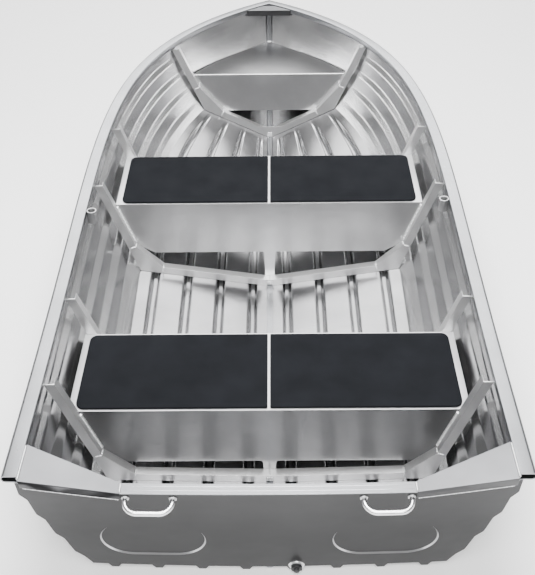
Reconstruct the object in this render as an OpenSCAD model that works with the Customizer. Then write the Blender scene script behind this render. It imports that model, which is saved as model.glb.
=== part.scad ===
// Open aluminium dinghy: pressed bottom and side sheets on a keel bar, extruded
// gunwales, a raked transom, three welded frames, two thwarts and a bow deck.
// Millimetres. +Y runs forward to the bow, +X to starboard, +Z up.
// Hull lines are drawn from the stern end of the gunwale (y = 0) and from the
// inside of the keel (z = 0). The finished pieces are then moved so that the
// origin is under the middle of the boat, on the ground.

/* [Hull] */
// Length over the gunwales, from the stern end to the bow
boat_l = 2702; // [2580:10:2830]
// Beam over the gunwales
beam = 1278; // [1230:2:1340]
// Width across the chines at the transom
chine_beam = 948; // [930:2:980]
// Height of the side sheets at the stern, above the inside of the keel
sheer_h = 403; // [390:1:420]
// How far the side sheets rise from the stern to the bow
bow_rise = 104; // [80:2:130]
// Height at which the chines meet the stem
stem_foot_h = 285; // [266:1:300]
// Distance forward from the foot of the stem to its head
stem_overhang = 78; // [60:1:100]
// Height of the chine above the keel at the transom
chine_h = 10; // [6:1:14]
// Distance aft from the foot of the transom to its top corner
transom_lean = 58; // [40:2:80]
// Radius of the transom's curve in plan
transom_r = 13500; // [9000:100:30000]
// Length of the straight part of the keel, from the stern
keel_straight_l = 1265; // [1100:5:1330]
// Thickness of the side sheets
side_t = 2; // [1.5:0.1:3]
// Thickness of the bottom sheets
bottom_t = 2.5; // [2:0.1:4]
// Thickness of the transom plate
transom_t = 3; // [2:0.1:5]

/* [Pressings] */
// Pressed strakes in each half of the bottom
strakes = 4; // [3:1:4]
// Distance of the innermost strake from the keel
strake_first = 63; // [56:1:72]
// Spacing of the strakes
strake_pitch = 118; // [105:1:122]
// Width of a strake at its mouth
strake_w = 32; // [28:1:38]
// Width of a strake at its foot
strake_foot_w = 16; // [10:1:20]
// Depth of a strake
strake_depth = 16; // [12:1:20]
// Pressed laps along each side
laps = 4; // [3:1:5]
// How far the foot of a lap stands out
lap_depth = 10; // [6:1:13]
// Outward bow of the side between chine and gunwale
side_bulge = 12; // [4:1:16]

/* [Rails] */
// Width of the gunwale
rail_w = 42; // [36:1:48]
// Height of the gunwale
rail_h = 22; // [18:1:28]
// Wall of the gunwale extrusion
rail_wall = 3; // [2:0.5:4]
// How far the gunwale stands inside the side sheet
rail_lip = 8; // [5:1:10]
// Depth of the keel bar under the bottom sheets
keel_depth = 11; // [8:1:13]
// Width of the keel bar
keel_w = 22; // [18:1:28]
// Width of the keel strip inside the boat
keel_strip_w = 20; // [16:1:30]
// Thickness of the keel strip
keel_strip_t = 3; // [2:0.5:4]

/* [Frames] */
// Fore and aft width of a frame's flange
angle_w = 28; // [24:1:34]
// Depth of a frame's web
angle_h = 27; // [22:1:32]
// Thickness of a frame's web and flange
angle_t = 3; // [2:0.5:4]
// Height of a corner knee up the side from the chine
knee_up = 103; // [90:1:120]
// Length of a corner knee along the bottom from the chine
knee_in = 80; // [70:1:95]
// Width of the small plate across the bow frame's floor
gusset_w = 106; // [80:1:130]

/* [Thwarts] */
// Aft edge of the stern thwart, from the stern
stern_thwart_y = 365; // [350:1:400]
// Aft edge of the mid thwart, from the stern
mid_thwart_y = 1296; // [1262:1:1332]
// Distance of the bow deck's aft edge from the bow
bow_deck_back = 434; // [412:1:462]
// Fore and aft depth of a thwart
thwart_d = 326; // [296:2:340]
// Height of the stern thwart's top above the keel
stern_thwart_h = 270; // [262:1:285]
// Height of the mid thwart's top above the keel
mid_thwart_h = 345; // [335:1:360]
// Height of the bow deck's top above the keel
bow_deck_h = 370; // [360:1:385]
// Width of the stern thwart
stern_thwart_w = 1120; // [1090:2:1124]
// Width of the mid thwart
mid_thwart_w = 1072; // [1040:2:1100]
// Width of the bow deck at its aft edge
bow_deck_w = 652; // [600:2:656]
// Height of a thwart's faces
face_h = 208; // [190:1:214]
// Height of the bow deck's face
bow_face_h = 172; // [150:1:185]
// Sheet of the thwarts and the bow deck
thwart_t = 3; // [2:0.5:4]
// Width of the leg under the middle of a face
leg_w = 40; // [30:1:60]
// Thickness of the seat pads
pad_t = 5; // [3:0.5:8]

/* [Fittings] */
// Half width of the lowered middle of the transom
motor_half_w = 358; // [350:1:370]
// Height of the lowered middle of the transom above the keel
motor_h = 375; // [362:1:385]
// Width of the cap along the middle of the transom
cap_w = 32; // [26:1:36]
// Depth of the cap's lip inside the boat
cap_lip = 20; // [14:1:26]
// Sheet of the cap, corner plates and breasthook
fitting_t = 3; // [2:0.5:4]
// Length of a corner plate along the gunwale
corner_l = 116; // [90:1:140]
// Depth of the corner plate's flange on the transom
corner_lip = 30; // [20:1:40]
// Diameter of the rod in a transom handle
handle_rod_d = 13; // [10:0.5:16]
// Distance between the legs of a handle
handle_w = 116; // [100:1:118]
// How far a handle stands off the transom
handle_out = 42; // [36:1:52]
// Bore of a rowlock socket
rowlock_bore_d = 25; // [20:0.5:27]
// Outer diameter of a rowlock socket
rowlock_d = 31; // [30:0.5:36]
// Length of a rowlock socket
rowlock_l = 45; // [35:1:60]
// Distance of the starboard rowlock from the stern
rowlock_y = 1150; // [1110:1:1190]
// How far the port rowlock stands aft of the starboard one
rowlock_stagger = 50; // [0:1:80]
// Width of a pressed panel in the transom
panel_w = 278; // [240:2:290]
// Height of a pressed panel in the transom
panel_h = 168; // [140:2:180]
// Depth of a pressed panel
panel_depth = 4; // [2:0.5:6]
// Distance of the drain from the keel
drain_x = 72; // [60:1:90]
// Half width of the breasthook at its aft edge
breasthook_half_w = 92; // [80:1:110]

/* [Hidden] */
$fn = 48;

// Gap at welded faces
weld = 0.3;
// Half width of the slot for the keel's web between the sheets
slot = 6;
// Stations along a sheet, and the power that draws them together at the bow
stations = 22;
bunching = 1.5;
// Powers of the plan curves: the first keeps the middle full, the second shapes the bow
sheer_full = 5.8;
sheer_nose = 0.976;
chine_full = 8.28;
chine_nose = 1.4;
// Powers of the rising chine and the rising keel
chine_sweep = 1.95;
keel_sweep = 4.46;
// Where the sheer starts to narrow and to rise
sheer_start = 252;
// Where the pressings fade out, aft of the bow deck's edge and forward of it
bow_deck_y = boat_l - bow_deck_back;
lap_fade = [bow_deck_y - 190, bow_deck_y + 40];
strake_fade = [bow_deck_y - 190, bow_deck_y - 30];

NODES = [
    "bottom_port", "bottom_starboard", "side_port", "side_starboard", "keel_bar", "keel_strip",
    "transom", "transom_cap", "corner_plate_port", "corner_plate_starboard",
    "handle_port", "handle_starboard", "drain_socket", "drain_plug",
    "gunwale_port", "gunwale_starboard", "breasthook",
    "stern_frame_side_port", "stern_frame_side_starboard", "stern_frame_knees", "stern_frame_floor",
    "mid_frame_side_port", "mid_frame_side_starboard", "mid_frame_knees", "mid_frame_floor",
    "bow_frame_side_port", "bow_frame_side_starboard", "bow_frame_knees", "bow_frame_floor",
    "stern_thwart", "mid_thwart", "bow_deck",
    "stern_pad_port", "stern_pad_starboard", "mid_pad_port", "mid_pad_starboard",
    "stern_strut_port", "stern_strut_starboard", "mid_strut_port", "mid_strut_starboard",
    "rowlock_port", "rowlock_starboard"
];
node = "all";

metal = "silver";
bright = "gainsboro";
black = "#2b2d30";

// Hull lines

function mix(a, b, t) = a + (b - a) * t;
function smooth(edges, y) =
    let (t = min(1, max(0, (y - edges[0]) / (edges[1] - edges[0])))) 1 - t * t * (3 - 2 * t);

rail_out = rail_w - rail_lip;
// Half angle of the bow in plan, and how far the gunwale's outer edge runs ahead of the side sheets
nose_bit = 0.004;
nose_rise = (beam / 2 - rail_out - slot) * pow(1 - pow(1 - nose_bit, sheer_full), sheer_nose);
nose_angle = atan(nose_rise / (nose_bit * (boat_l - rail_w - sheer_start)));
nose_lead = rail_out / sin(nose_angle) + slot / tan(nose_angle);
sheer_end = boat_l - nose_lead;
chine_start = transom_lean;
chine_end = sheer_end - stem_overhang;
// The transom is a raked plate, bent to a curve in plan
function camber(x) = transom_r - sqrt(transom_r * transom_r - x * x);
transom_rise = sheer_h - chine_h;
rake = atan(transom_lean / transom_rise)
    + asin((camber(beam / 2 - rail_out) - camber(chine_beam / 2)) / norm([transom_rise, transom_lean]));
transom_foot = chine_start - camber(chine_beam / 2) / cos(rake);
// Its inner face at a height z and a distance x from the middle
function transom_y(z, x = 0) = transom_foot - (z - chine_h) * tan(rake) + camber(x) / cos(rake);
function transom_s(z) = (z - chine_h) / cos(rake);
function to_transom(row) = [for (p = row) [p.x, transom_y(p.z, p.x), p.z]];

function chine_t(y) = max(0, (y - chine_start) / (chine_end - chine_start));
function chine_x(y) =
    slot + (chine_beam / 2 - slot) * pow(max(0, 1 - pow(chine_t(y), chine_full)), chine_nose);
function chine_z(y) = chine_h + (stem_foot_h - chine_h) * pow(chine_t(y), chine_sweep);
function keel_z(y) =
    let (t = max(0, y - keel_straight_l) / (chine_end - keel_straight_l)) stem_foot_h * pow(t, keel_sweep);
function sheer_t(y) = max(0, (y - sheer_start) / (sheer_end - sheer_start));
function sheer_x(y) =
    slot + (beam / 2 - rail_out - slot) * pow(max(0, 1 - pow(sheer_t(y), sheer_full)), sheer_nose);
function sheer_z(y) = sheer_h + bow_rise * (1 - cos(180 * min(1, sheer_t(y)))) / 2;

// Chine and sheer at the same share u of their lengths, which a straight rule joins
function chine_y(u) = mix(chine_start, chine_end, u);
function sheer_y(u) = mix(0, sheer_end, u);
function chine_p(u) = let (y = chine_y(u)) [chine_x(y), y, chine_z(y)];
function sheer_p(u) = let (y = sheer_y(u)) [sheer_x(y), y, sheer_z(y)];
function side_p(u, v) = mix(chine_p(u), sheer_p(u), v);

// Outward direction of the side in plan
function side_normal(u) =
    let (e = 0.004, a = side_p(max(0, u - e), 0.5), b = side_p(min(1, u + e), 0.5), d = b - a)
    [d.y, -d.x, 0] / norm([d.x, d.y]);

// Side at a height share v in the transverse plane y
function side_at(y, v) =
    let (u = (y - mix(chine_start, 0, v)) / mix(chine_end - chine_start, sheer_end, v)) side_p(u, v);
// Side at a height z in the transverse plane y
function side_at_z(y, z) = side_at(y, (z - chine_z(y)) / (sheer_z(y) - chine_z(y)));
// Bottom at a distance x from the keel in the transverse plane y
function bottom_slope(y) = (chine_z(y) - keel_z(y)) / chine_x(y);
function bottom_at(y, x) = keel_z(y) + bottom_slope(y) * x;

// The innermost strake foot, at the transom, stands on the ground
ground_x = strake_first - (strake_foot_w + bottom_t) / 2;
ground = strake_depth + bottom_t - bottom_at(chine_start, ground_x);
// Height of the handles' legs and how far aft of y = 0 they reach
handle_z = motor_h - 26;
handle_x = 289;
handle_turn = asin(handle_x / transom_r);
// Radius of a handle's bends and half the length of its grip
handle_r = 32;
handle_grip = handle_w / 2 - handle_r;
handle_reach =
    (transom_t + 2 * weld + handle_out - camber(handle_x) + handle_grip * sin(handle_turn)) * cos(rake)
    + handle_rod_d / 2 - transom_y(handle_z);
middle = (boat_l - handle_reach) / 2;

module placed() translate([0, -middle, ground]) children();
// Drawn on the transom: x across, y up the slope, z outward
module on_transom() translate([0, transom_foot, chine_h]) rotate([90 + rake, 0, 0]) children();
// The same at a distance x from the middle, turned to the curve
module on_curve(x) translate([x, 0, -camber(x)]) rotate([0, asin(x / transom_r), 0]) children();
// A layer of the curve, from the height n0 outward by t
curve_turn = 1.5 * asin(chine_beam / 2 / transom_r);
module curved(n0, t) both_sides() translate([0, -100, -transom_r]) rotate([-90, 0, 0])
    rotate([0, 0, -90]) rotate_extrude(angle = curve_turn, $fn = 256)
        translate([transom_r + n0, 0]) square([t, transom_rise + 250]);
module both_sides() {
    children();
    mirror([1, 0, 0]) children();
}
// A transverse plate drawn in x and z, from the plane y forward by t
module across(y, t) translate([0, y + t, 0]) rotate([90, 0, 0]) linear_extrude(t) children();

// Lofted solids

// Two triangles of a quad whose corners run clockwise seen from outside
function quad(a, b, c, d) = [[a, b, c], [a, c, d]];

// A sheet between two grids of points, rows along the boat and columns across.
// Columns cross rows so that the inner grid's outside is column x row.
module sheet(inner, outer) {
    m = len(inner);
    n = len(inner[0]);
    points = concat([for (row = inner) each row], [for (row = outer) each row]);
    function p(i, j) = i * n + j;
    function q(i, j) = m * n + i * n + j;
    faces = concat(
        [for (i = [0:m - 2], j = [0:n - 2]) each quad(p(i, j), p(i + 1, j), p(i + 1, j + 1), p(i, j + 1))],
        [for (i = [0:m - 2], j = [0:n - 2]) each quad(q(i, j), q(i, j + 1), q(i + 1, j + 1), q(i + 1, j))],
        [for (i = [0:m - 2]) each quad(p(i, 0), q(i, 0), q(i + 1, 0), p(i + 1, 0))],
        [for (i = [0:m - 2]) each quad(p(i, n - 1), p(i + 1, n - 1), q(i + 1, n - 1), q(i, n - 1))],
        [for (j = [0:n - 2]) each quad(p(0, j), p(0, j + 1), q(0, j + 1), q(0, j))],
        [for (j = [0:n - 2]) each quad(p(m - 1, j), q(m - 1, j), q(m - 1, j + 1), p(m - 1, j + 1))]
    );
    polyhedron(points, faces);
}

// A hollow rail through rings of outer points and inner points, clockwise seen from behind
module hollow_rail(outer, inner) {
    m = len(outer);
    n = len(outer[0]);
    points = concat([for (ring = outer) each ring], [for (ring = inner) each ring]);
    function p(i, k) = i * n + k % n;
    function q(i, k) = m * n + i * n + k % n;
    faces = concat(
        [for (i = [0:m - 2], k = [0:n - 1]) each quad(p(i, k), p(i + 1, k), p(i + 1, k + 1), p(i, k + 1))],
        [for (i = [0:m - 2], k = [0:n - 1]) each quad(q(i, k), q(i, k + 1), q(i + 1, k + 1), q(i + 1, k))],
        [for (k = [0:n - 1]) each quad(p(0, k), p(0, k + 1), q(0, k + 1), q(0, k))],
        [for (k = [0:n - 1]) each quad(p(m - 1, k), q(m - 1, k), q(m - 1, k + 1), p(m - 1, k + 1))]
    );
    polyhedron(points, faces);
}

function station(i, n) = 1 - pow(1 - i / n, bunching);

// Bottom sheets

// Points across one half of the bottom: [distance from the keel, share of the strake's depth]
strake_spread = bottom_t / 2;
function strake_points(spread) = [
    for (k = [0:strakes - 1])
        let (x = strake_first + k * strake_pitch)
        each [
            [x - strake_w / 2 - spread, 0], [x - strake_foot_w / 2 - spread, 1],
            [x + strake_foot_w / 2 + spread, 1], [x + strake_w / 2 + spread, 0]
        ]
];
function bottom_row(y, spread, drop) =
    let (now = chine_x(y), draw = (now - slot) / (chine_beam / 2 - slot), fade = smooth(strake_fade, y))
    concat(
        [[slot, y, bottom_at(y, slot) - drop]],
        [for (s = strake_points(spread))
            let (x = slot + (s[0] - slot) * draw)
            [x, y, bottom_at(y, x) - strake_depth * s[1] * fade - drop]],
        [[now + side_t, y, bottom_at(y, now + side_t) - drop]]
    );
// The sheets stop where they would run to a point against the stem
bottom_tip = 0.996;
bottom_us = [for (i = [0:stations]) bottom_tip * station(i, stations)];

function sheet_end(u, row) = u > 0 ? row : to_transom(row);

module bottom() {
    color(metal) sheet(
        [for (u = bottom_us) sheet_end(u, bottom_row(chine_y(u), 0, 0))],
        [for (u = bottom_us) sheet_end(u, bottom_row(chine_y(u), strake_spread, bottom_t))]
    );
}

// Side sheets

// Points up the side: [height share, share of the lap's depth], from the chine to the sheer.
// Each lap stands out at its foot and is drawn in above it by a short ledge.
lap_bottom = 0.09;
lap_ledge = 0.065;
lap_pitch = 0.95 / laps;
side_points = concat(
    [[0, 0]],
    [for (k = [0:laps - 1])
        let (v = lap_bottom + k * lap_pitch)
        each [[v, 0.2], [v + lap_ledge, 1.2]]],
    [[1, 0.2]]
);
function side_row(u, out) =
    let (n = side_normal(u), fade = smooth(lap_fade, side_p(u, 0.5).y), close = smooth([0.9, 1], u))
    [for (s = side_points)
        let (v = s[0], bow = side_bulge * 4 * v * (1 - v) * close)
        side_p(u, v) + n * (bow + lap_depth * s[1] * fade + out)
            + [0, 0, v == 0 ? weld : v == 1 ? -weld : 0]];
side_us = [for (i = [0:stations]) station(i, stations)];

module side() {
    color(metal) sheet(
        [for (u = side_us) sheet_end(u, side_row(u, 0))],
        [for (u = side_us) sheet_end(u, side_row(u, side_t))]
    );
}

// Keel and stem

// The keel's line and then the stem's, with the slope of the sheets beside it
stem_steps = 6;
keel_us = [for (i = [0:stations]) station(i, stations)];
keel_start = transom_y(-bottom_t - keel_depth);
function keel_line(i) =
    i <= stations
        ? let (y = i > 0 ? chine_y(keel_us[i]) : keel_start) [0, y, keel_z(y)]
        : mix(chine_p(1), sheer_p(1), (i - stations) / stem_steps) - [slot, 0, 0];
keel_points = stations + stem_steps;
function keel_down(i) =
    let (a = keel_line(max(0, i - 1)), b = keel_line(min(keel_points, i + 1)), d = (b - a) / norm(b - a))
    [0, d.z, -d.y];
// Slope of the sheets where they meet the keel and, further up, the stem
stem_vee = 0.5;
function keel_vee(i) =
    i < stations ? min(stem_vee, bottom_slope(chine_y(keel_us[i]))) : stem_vee;
function keel_ring(i, half, up) =
    keel_line(i) + [half, 0, 0] - keel_down(i) * (up + keel_vee(i) * abs(half));

module keel_strip() {
    rows = [for (i = [0:keel_points]) i];
    xs = [-keel_strip_w / 2, 0, keel_strip_w / 2];
    color(bright) sheet(
        [for (i = rows) [for (x = xs) keel_ring(i, x, weld * 2 + keel_strip_t)]],
        [for (i = rows) [for (x = xs) keel_ring(i, x, weld * 2)]]
    );
}

module keel_bar() {
    rows = [for (i = [0:keel_points]) i];
    xs = [-keel_w / 2, -keel_w / 4, 0, keel_w / 4, keel_w / 2];
    function foot(x) = abs(x) > keel_w / 3 ? 0.6 : 1;
    color(bright) sheet(
        [for (i = rows) [for (x = xs) keel_ring(i, x, -bottom_t - weld * 2)]],
        [for (i = rows) [for (x = xs)
            keel_line(i) + [x, 0, 0] + keel_down(i) * (bottom_t + weld * 2 + keel_depth * foot(x))]]
    );
}

// Gunwales

// Rail section as [outward, up] from the top of the side sheet, clockwise from the inner foot
rail_round = rail_h * 0.42;
function rail_section(inset) =
    let (r = rail_round - inset, lo = -rail_lip + inset, hi = rail_out - inset, h = rail_h - inset)
    concat(
        [[lo, inset], [lo, h - r / 3], [lo + r / 3, h]],
        [for (a = [90:-30:0]) [hi - r + r * cos(a), h - r + r * sin(a)]],
        [[hi, inset + r * 0.9], [hi - r * 1.1, inset]]
    );
function rail_tangent(u) =
    let (e = 0.004, d = sheer_p(min(1, u + e)) - sheer_p(max(0, u - e))) [d.x, d.y, 0] / norm([d.x, d.y]);
// The last ring is mitred on the boat's middle plane
function rail_ring(u, inset) =
    let (p = sheer_p(u), t = rail_tangent(u), n = [t.y, -t.x, 0])
    [for (s = rail_section(inset))
        let (q = p + n * s[0] + [0, 0, s[1]])
        u < 1 ? q : q + t * ((weld / 2 - q.x) / t.x)];
rail_us = [for (i = [0:stations + 4]) station(i, stations + 4)];

module gunwale() {
    color(bright) hollow_rail(
        [for (u = rail_us) rail_ring(u, 0)],
        [for (u = rail_us) rail_ring(u, rail_wall)]
    );
}

// Transom

// Outline of the hull's outside at the transom, as [x, s], from the keel to the gunwale
function transom_edge() = concat(
    [for (p = bottom_row(chine_start, strake_spread, bottom_t)) [p.x, transom_s(p.z)]],
    [for (p = side_row(0, side_t)) [p.x, transom_s(p.z)]]
);
corner_s = transom_s(sheer_h) - weld;
motor_s = transom_s(motor_h - fitting_t) - weld;
edge_inset = 12;
// The corner plates slope from the gunwale's inner edge down to the transom's cap
corner_x = sheer_x(0) - rail_lip;
corner_z = sheer_h + rail_h - 4;
corner_angle = atan((corner_z - motor_h) / (corner_x - motor_half_w));
function corner_height(x) = mix(motor_h, corner_z, (x - motor_half_w) / (corner_x - motor_half_w));

panel_x = 300;
panel_z = 143;
panel_bevel = panel_depth;

// A pressed panel with round ends and bevelled edges, as a solid to add or take away
module panel(w, h, deep) {
    r = h / 2;
    run = w / 2 - r;
    both_sides() translate([run, 0, 0]) rotate([0, 0, -90])
        rotate_extrude(angle = 180) polygon([[0, 0], [r, 0], [r - panel_bevel, deep], [0, deep]]);
    rotate([90, 0, 90]) translate([0, 0, -run]) linear_extrude(2 * run)
        polygon([[-r, 0], [r, 0], [r - panel_bevel, deep], [panel_bevel - r, deep]]);
}

module transom_plate() {
    edge = transom_edge();
    half = concat(
        [for (p = edge) if (p.y < corner_s - 1) p],
        [[sheer_x(0) + side_t, corner_s - 1], [motor_half_w, motor_s]]
    );
    points = concat(half, [for (i = [len(half) - 1:-1:0]) [-half[i].x, half[i].y]]);
    intersection() {
        translate([0, 0, -60]) linear_extrude(90) polygon(points);
        curved(weld, transom_t);
    }
}

module transom() {
    s = transom_s(panel_z);
    color(metal) on_transom() difference() {
        union() {
            transom_plate();
            both_sides() on_curve(panel_x) translate([0, s, weld + 0.01]) mirror([0, 0, 1])
                panel(panel_w, panel_h, panel_depth);
        }
        both_sides() on_curve(panel_x) translate([0, s, weld + transom_t + 0.01]) mirror([0, 0, 1])
            panel(panel_w - 2 * panel_bevel * 0.4, panel_h - 2 * panel_bevel * 0.4, panel_depth + 0.01);
        translate([drain_x, transom_s(drain_z), -1]) cylinder(d = drain_d, h = transom_t + 4);
    }
}

// Cap along the lowered middle: an angle with two grooves along its top
cap_groove = 1;
cap_back = transom_t + fitting_t + 2 * weld + 1;
cap_turn = 4.1;
module transom_cap() {
    r = transom_r * cos(rake);
    half = motor_half_w - weld;
    color(bright) intersection() {
        translate([0, transom_y(motor_h) - cap_back + r, 0]) rotate([0, 0, -90 - cap_turn])
            rotate_extrude(angle = 2 * cap_turn, $fn = 256) translate([r, 0]) mirror([1, 0]) difference() {
                union() {
                    translate([0, motor_h - fitting_t]) square([cap_w, fitting_t]);
                    translate([cap_w - fitting_t, motor_h - cap_lip]) square([fitting_t, cap_lip]);
                }
                for (k = [0.25, 0.65])
                    translate([cap_w * k, motor_h - cap_groove]) square([3, 2 * cap_groove]);
            }
        translate([-half, -100, 0]) cube([2 * half, 200, 2 * motor_h]);
    }
}

// Corner plates: a sloping plate from gunwale to cap, folded down over the transom
module corner_plate() {
    back = transom_y(motor_h, motor_half_w) - cap_back;
    back_out = transom_y(corner_z, corner_x) - cap_back;
    run = (corner_x - motor_half_w) / cos(corner_angle);
    color(bright) {
        translate([motor_half_w, 0, motor_h - fitting_t / cos(corner_angle)]) rotate([0, -corner_angle, 0])
            linear_extrude(fitting_t)
                polygon([
                    [weld, back], [run - weld, back_out],
                    [run - weld, back_out + corner_l], [weld, back + cap_w]
                ]);
        on_transom() intersection() {
            translate([0, 0, -60]) linear_extrude(90) polygon([
                [motor_half_w + weld, transom_s(motor_h - corner_lip)],
                [corner_x - weld, transom_s(corner_z - corner_lip - 4)],
                [corner_x - weld, transom_s(corner_z - fitting_t) - 0.5],
                [motor_half_w + weld, transom_s(motor_h - fitting_t) - 0.5]
            ]);
            curved(transom_t + 2 * weld, fitting_t);
        }
    }
}

// Handles: a bent rod with two wide round corners
module handle() {
    rod = handle_rod_d / 2;
    leg = handle_out - handle_r;
    color(bright) on_transom() on_curve(handle_x) translate([0, transom_s(handle_z), transom_t + 2 * weld]) {
        both_sides() translate([handle_w / 2, 0, 0]) {
            cylinder(r = rod, h = leg);
            translate([-handle_r, 0, leg]) rotate([90, 0, 0])
                rotate_extrude(angle = 90) translate([handle_r, 0]) circle(rod);
        }
        translate([-handle_grip, 0, handle_out]) rotate([0, 90, 0]) cylinder(r = rod, h = 2 * handle_grip);
    }
}

// Drain: a flanged socket by the starboard strake, with a plug in it
drain_z = 6;
drain_d = 24;
drain_flange_d = 44;
drain_flange_t = 4;
drain_head_d = 30;
module on_drain() on_transom() translate([drain_x, transom_s(drain_z), transom_t + 2 * weld]) children();
module drain_socket() {
    color(bright) on_drain() difference() {
        cylinder(d1 = drain_flange_d, d2 = drain_flange_d - 6, h = drain_flange_t);
        translate([0, 0, -1]) cylinder(d = drain_d, h = drain_flange_t + 2);
    }
}
module drain_plug() {
    color(black) on_drain() {
        translate([0, 0, -transom_t])
            cylinder(d = drain_d - 2 * weld, h = transom_t + drain_flange_t + 1);
        translate([0, 0, drain_flange_t + weld]) cylinder(d = drain_head_d, h = 8);
        translate([0, 0, drain_flange_t + weld]) cylinder(d = drain_head_d / 2, h = 15);
    }
}

// Breasthook: a plate between the gunwales with its aft edge folded down
breasthook_drop = 4;
breasthook_lip = 24;
function breasthook_x(y) = sheer_x(y) - (rail_lip + weld) * 2;
breasthook_share = (breasthook_half_w + 2 * rail_lip) / (beam / 2 - rail_out);
breasthook_y = mix(sheer_start, sheer_end, pow(1 - pow(breasthook_share, 1 / sheer_nose), 1 / sheer_full));
module breasthook() {
    z = sheer_z(breasthook_y) + rail_h - breasthook_drop;
    steps = 4;
    nose = sheer_end - rail_lip * 3;
    edge = [for (k = [0:steps]) let (y = mix(breasthook_y, nose, k / steps)) [max(4, breasthook_x(y)), y]];
    color(bright) {
        translate([0, 0, z - fitting_t]) linear_extrude(fitting_t)
            polygon(concat(edge, [for (k = [steps:-1:0]) [-edge[k].x, edge[k].y]]));
        across(breasthook_y, fitting_t) translate([-edge[0].x, z - breasthook_lip])
            square([2 * edge[0].x, breasthook_lip]);
    }
}

// Frames

// Corners of one half of a frame in the transverse plane y, as [x, z]
side_gap = 3;
function frame_top(y) = let (p = side_at(y, 1)) [p.x - side_gap, p.z - weld];
function frame_chine(y) = [chine_x(y) - side_gap, chine_z(y) + weld];
function unit(v) = v / norm(v);
// Turned a quarter to the left
function left(v) = [-v.y, v.x];
function side_dir(y) = unit(frame_top(y) - frame_chine(y));
function floor_dir(y) = unit([0, keel_z(y) + weld] - frame_chine(y));
// A frame is cut to the hull where its web stands
function web_plane(y) = y - angle_w + angle_t;
// Points at a distance from the chine, up the side or in along the bottom, and set in by a depth
function side_pt(y, along, deep) = frame_chine(y) + side_dir(y) * along + left(side_dir(y)) * deep;
function floor_pt(y, along, deep) = frame_chine(y) + floor_dir(y) * along - left(floor_dir(y)) * deep;
function side_len(y) = norm(frame_top(y) - frame_chine(y));
function floor_x(y, x, deep) =
    let (along = (x - frame_chine(y).x - floor_dir(y).y * deep) / floor_dir(y).x) floor_pt(y, along, deep);

// An angle section: web at the aft face, flange along the inner edge
module angle_piece(y, web, flange) {
    across(y - angle_w, angle_t) polygon(web);
    across(y - angle_w, angle_w - weld) polygon(flange);
}

top_cut = 12;
module side_angle(y, w, from) {
    to = side_len(w);
    color(bright) angle_piece(y,
        [side_pt(w, from, 0), side_pt(w, to - 4, 0),
            side_pt(w, to - top_cut, angle_h), side_pt(w, from, angle_h)],
        [side_pt(w, from, angle_h - angle_t), side_pt(w, to - top_cut, angle_h - angle_t),
            side_pt(w, to - top_cut, angle_h), side_pt(w, from, angle_h)]
    );
}
module frame_side(y) side_angle(y, web_plane(y), knee_up + weld);

// The knee fills the corner at the chine, with a flange across it
module frame_knee(y) {
    w = web_plane(y);
    upper = side_pt(w, knee_up, angle_h);
    lower = floor_pt(w, knee_in, angle_h);
    thick = left(unit(upper - lower)) * -angle_t;
    color(bright) angle_piece(y,
        [frame_chine(w), side_pt(w, knee_up, 0), upper, lower, floor_pt(w, knee_in, 0)],
        [upper, lower, lower + thick, upper + thick]
    );
}

// The web stops short of the keel strip, and the flanges meet in a mitre over it
module frame_floor(y, gusset = 0) {
    w = web_plane(y);
    from = knee_in + weld;
    inner = keel_strip_w / 2 + weld;
    web_h = angle_h - angle_t / 2;
    flange_h = angle_h - angle_t;
    color(bright) both_sides() angle_piece(y,
        [floor_pt(w, from + weld, 0), floor_pt(w, from + weld, web_h),
            floor_x(w, inner, web_h), floor_x(w, inner, 0)],
        [floor_pt(w, from, angle_h), floor_pt(w, from, flange_h),
            floor_x(w, weld, flange_h), floor_x(w, weld, angle_h)]
    );
    // A small plate across the vee
    if (gusset > 0) {
        corner = floor_x(w, gusset / 2, web_h);
        foot = floor_x(w, inner, angle_h / 2);
        color(bright) across(y - angle_w, angle_t)
            polygon([[-corner.x, corner.y], corner, foot, [-foot.x, foot.y]]);
    }
}

// Thwarts

// Outline of a face in x and z: sloped ends, cut corners and a tapered leg down to the keel strip
toe_back = 30;
leg_taper = 0.8;
leg_r = 8;
module face_outline(y, wide, top, h, leg = true) {
    low = top - h;
    bend = max(low + 20, chine_z(y) + knee_up * 0.9);
    narrow = wide + side_at_z(y, bend).x - side_at_z(y, top).x;
    toe = floor_pt(y, knee_in - toe_back, angle_h).x;
    polygon([[-wide, top], [wide, top], [narrow, bend], [toe, low], [-toe, low], [-narrow, bend]]);
    if (leg) {
        half = leg_w / 2;
        foot = half * leg_taper;
        rest = keel_strip_t + 3 * weld;
        polygon([
            [-half, low], [half, low], [foot, bottom_at(y + thwart_t, foot) + rest],
            [0, keel_z(y + thwart_t) + rest], [-foot, bottom_at(y + thwart_t, foot) + rest]
        ]);
        both_sides() difference() {
            translate([half - 1, low - leg_r]) square([leg_r + 1, leg_r + 1]);
            translate([half + leg_r, low - leg_r]) circle(leg_r);
        }
    }
}

// Top of a thwart between two transverse planes, with both faces folded down
module thwart(y, w, top) {
    color(metal) {
        translate([-w / 2, y, top - thwart_t]) cube([w, thwart_d, thwart_t]);
        across(y, thwart_t) face_outline(y, w / 2, top, face_h);
        across(y + thwart_d - thwart_t, thwart_t) face_outline(y + thwart_d, w / 2, top, face_h);
    }
}

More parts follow.
